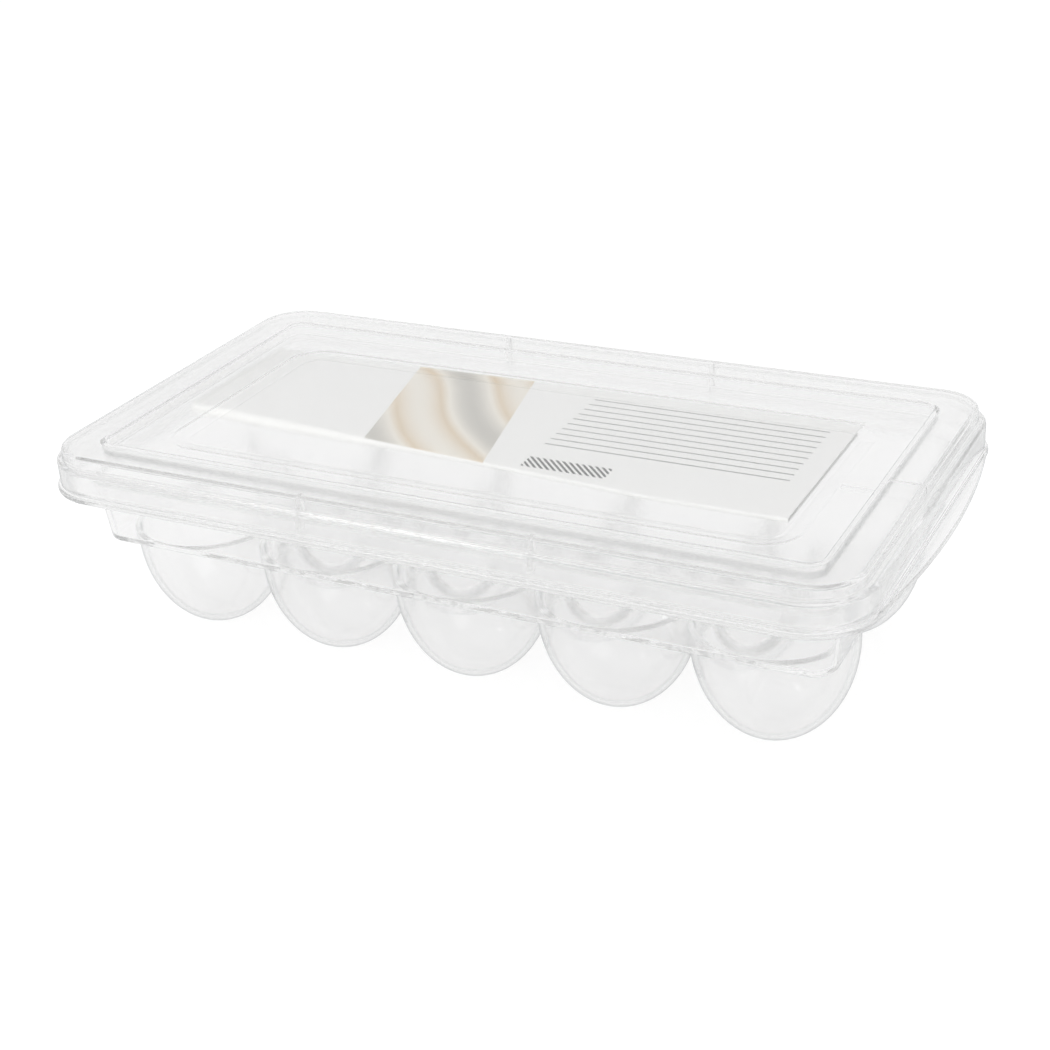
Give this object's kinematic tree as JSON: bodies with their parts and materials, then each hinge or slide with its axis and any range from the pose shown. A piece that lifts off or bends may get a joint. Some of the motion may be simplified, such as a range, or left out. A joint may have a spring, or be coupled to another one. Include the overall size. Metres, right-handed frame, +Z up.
{
  "type": "egg storage box",
  "caption": "Low clear rectangular egg box: tray of staggered egg-shaped cups with a drafted wall and beaded rim, lift-off lid with sunk stacking panel, folded card insert.",
  "frame": {"origin": "on the table under the middle of the whole outline, handle tab included, level with the feet of the cups", "axes": "+X along the length, towards the end with the handle tab; +Y across the depth, to the back of the picture; +Z up, out of the lid"},
  "size_m": [0.275, 0.1464, 0.0703],
  "materials": {
    "tray_plastic": "clear injection-moulded plastic, polished",
    "lid_plastic": "clear injection-moulded plastic, polished",
    "card_paper": "coated paper, silk"
  },
  "bodies": {
    "tray": {"cup_tray": "tray_plastic"},
    "lid": {"lid": "lid_plastic"},
    "card": {"insert_card": "card_paper"}
  },
  "joints": [
    {"name": "lid_lift", "type": "slide", "parent": "tray", "child": "lid", "axis": [0, 0, 1], "range_m": [0, 0.12]},
    {"name": "card_drop", "type": "slide", "parent": "lid", "child": "card", "axis": [0, 0, -1], "range_m": [0, 0.021]}
  ]
}
